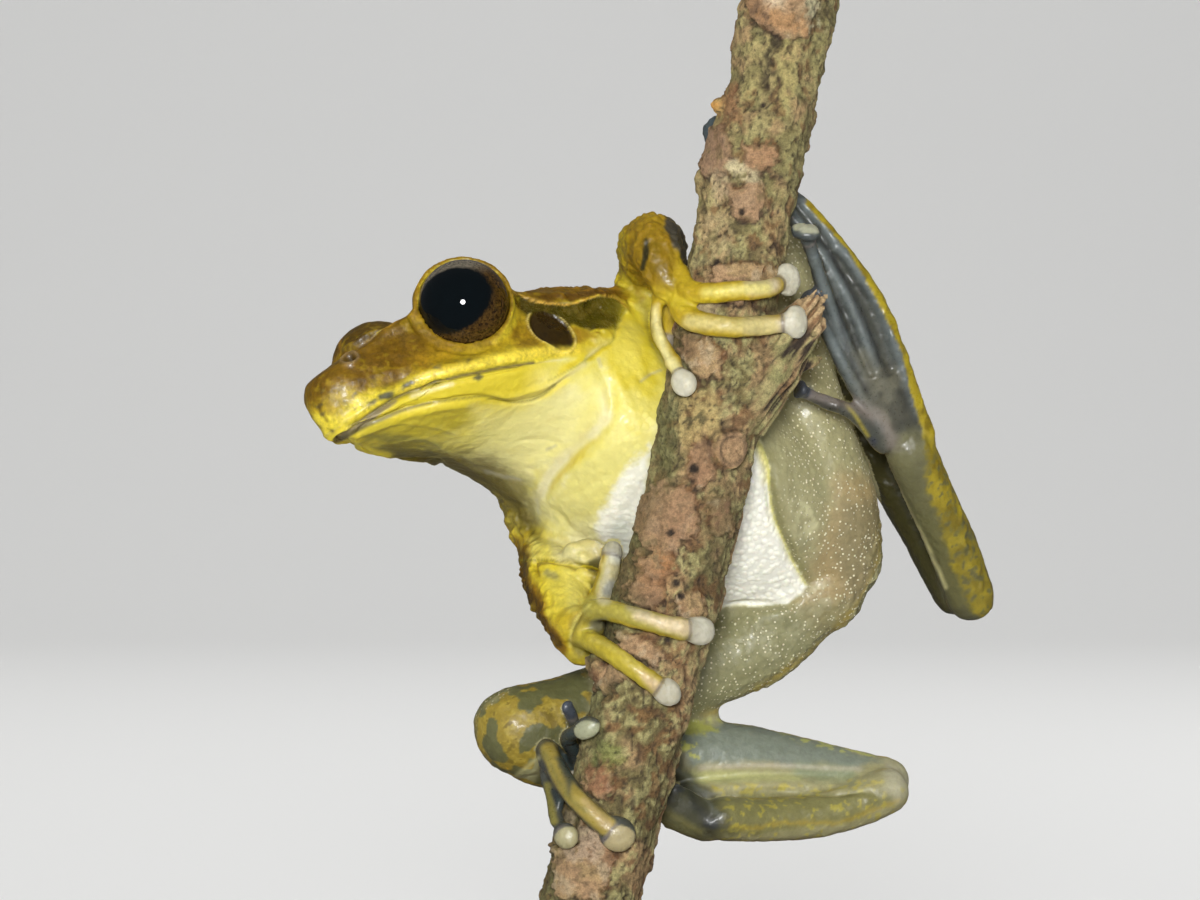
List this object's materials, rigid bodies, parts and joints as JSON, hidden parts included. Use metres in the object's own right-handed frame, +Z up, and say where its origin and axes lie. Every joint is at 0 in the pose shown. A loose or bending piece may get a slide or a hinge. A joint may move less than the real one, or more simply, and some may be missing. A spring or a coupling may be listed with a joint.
{
  "type": "frog model",
  "caption": "Still, life-size model of a stony creek frog gripping a short cut length of stem, held on a round display stand by a rod.",
  "frame": {"origin": "centre of the stand's underside, on the surface that it stands on", "axes": "+X towards the right of the picture's view, +Y away from the viewer, +Z up"},
  "size_m": [0.066, 0.066, 0.0769],
  "materials": {
    "skin_gold": "moist golden yellow skin, painted on the model",
    "skin_belly": "pale yellow to white granular skin, painted on the model",
    "skin_olive": "translucent olive skin with pale granules, painted on the model",
    "skin_pale": "pale yellow fingers with grey-white discs, painted on the model",
    "sole": "moist slate grey sole with a yellow outer edge, painted on the model",
    "eye": "glossy dark eye with a silver to bronze iris",
    "bark": "dull lichened bark",
    "steel": "satin",
    "wood": "dark stained, satin"
  },
  "bodies": {
    "root": {"head": "skin_gold", "torso": "skin_belly", "eye_left": "eye", "eye_right": "eye", "upper_arm_left": "skin_gold", "upper_arm_right": "skin_gold", "forearm_left": "skin_gold", "forearm_right": "skin_gold", "hand_left": "skin_pale", "hand_right": "skin_pale", "thigh_left": "skin_olive", "thigh_right": "skin_olive", "shank_left": "skin_olive", "shank_right": "skin_olive", "tarsus_left": "skin_gold", "tarsus_right": "skin_gold", "foot_left": "sole", "foot_right": "sole", "perch_stem": "bark", "stand_rod": "steel", "stand_base": "wood"}
  },
  "joints": []
}
